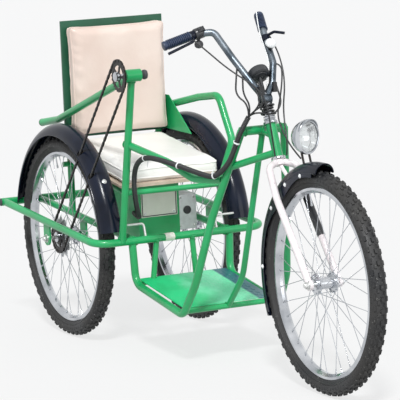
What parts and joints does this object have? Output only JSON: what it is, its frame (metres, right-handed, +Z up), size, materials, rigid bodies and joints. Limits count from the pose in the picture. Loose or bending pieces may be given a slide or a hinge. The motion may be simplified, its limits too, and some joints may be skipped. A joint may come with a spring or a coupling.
{
  "type": "mobility tricycle",
  "caption": "Narrow mobility tricycle: padded chair between spoked rear wheels, hand crank and chain at the right arm, footboard, steered front wheel with mudguard and headlamp.",
  "frame": {"origin": "on the ground under the middle of the whole machine", "axes": "+X forward, +Y to the rider's left, +Z up"},
  "size_m": [2.0569, 0.64, 1.1157],
  "materials": {
    "green_paint": "bright gloss enamel with worn edges",
    "checker_plate": "gloss enamel over a raised pattern",
    "zinc_steel": "bright zinc plate",
    "cream_vinyl": "soft vinyl with fine grain",
    "plywood": "plain sealed board",
    "dark_green_shell": "dark enamel",
    "battery_case": "matt",
    "plate_cream": "plain cream with a dark edge",
    "galvanised_steel": "dull zinc",
    "black_plastic": "glossy blue-black",
    "black_steel": "oiled black steel",
    "chrome": "bright plate",
    "pale_paint": "pale silver-pink enamel",
    "grip_rubber": "ribbed blue-black rubber",
    "lamp_chrome": "chrome shell and clear lens",
    "black_conduit": "ribbed black sleeve",
    "dark_case": "dark case with a bright rim",
    "tyre": "black knobby rubber"
  },
  "bodies": {
    "frame": {"guard_loop": "green_paint", "rear_bar": "green_paint", "inner_rails": "green_paint", "axle_plates": "green_paint", "rear_axles": "zinc_steel", "right_loop": "green_paint", "left_loop": "green_paint", "head_bar": "green_paint", "head_tube": "green_paint", "neck_struts": "green_paint", "board_bars": "green_paint", "centre_tube": "green_paint", "footboard": "checker_plate", "board_braces": "green_paint", "crank_post": "green_paint", "right_arm_rest": "green_paint", "left_arm_rest": "green_paint", "side_rail": "green_paint", "seat_frame": "green_paint", "seat_cushion": "cream_vinyl", "seat_board": "plywood", "back_cushion": "cream_vinyl", "back_shell": "dark_green_shell", "back_frame": "green_paint", "battery_box": "green_paint", "battery": "battery_case", "sign_plate": "plate_cream", "control_box": "galvanised_steel", "left_mudguard": "black_plastic", "right_mudguard": "black_plastic", "mudguard_stays": "zinc_steel", "side_panel": "green_paint", "chain": "black_steel", "conduit": "black_conduit"},
    "steering": {"steerer": "chrome", "fork": "pale_paint", "front_axle": "zinc_steel", "front_mudguard": "black_plastic", "handlebar": "chrome", "grips": "grip_rubber", "brake_levers": "black_plastic", "clock_and_bell": "dark_case", "headlamp": "lamp_chrome", "lamp_stay": "black_steel", "lamp_cable": "black_conduit"},
    "front_wheel": {"front_wheel_tyre": "tyre", "front_wheel_rim": "chrome", "front_wheel_hub": "chrome", "front_wheel_spokes": "chrome"},
    "right_wheel": {"right_wheel_tyre": "tyre", "right_wheel_rim": "chrome", "right_wheel_hub": "chrome", "right_wheel_spokes": "chrome", "wheel_sprocket": "black_steel"},
    "left_wheel": {"left_wheel_tyre": "tyre", "left_wheel_rim": "chrome", "left_wheel_hub": "chrome", "left_wheel_spokes": "chrome"},
    "hand_crank": {"crank_sprocket": "black_steel", "crank_spindle": "chrome"}
  },
  "joints": [
    {"name": "steering", "type": "hinge", "parent": "frame", "child": "steering", "pos_m": [0.4125, 0, 0.735], "axis": [-0.3746, 0, 0.9272], "range_deg": [-40, 40]},
    {"name": "front_wheel_spin", "type": "hinge", "parent": "steering", "child": "front_wheel", "pos_m": [0.6915, 0, 0.337], "axis": [0, 1, 0], "continuous": true},
    {"name": "right_wheel_spin", "type": "hinge", "parent": "frame", "child": "right_wheel", "pos_m": [-0.6535, -0.231, 0.337], "axis": [0, 1, 0], "continuous": true},
    {"name": "left_wheel_spin", "type": "hinge", "parent": "frame", "child": "left_wheel", "pos_m": [-0.6535, 0.231, 0.337], "axis": [0, 1, 0], "continuous": true},
    {"name": "hand_crank_spin", "type": "hinge", "parent": "frame", "child": "hand_crank", "pos_m": [-0.1175, -0.266, 0.916], "axis": [0, 1, 0], "continuous": true}
  ]
}
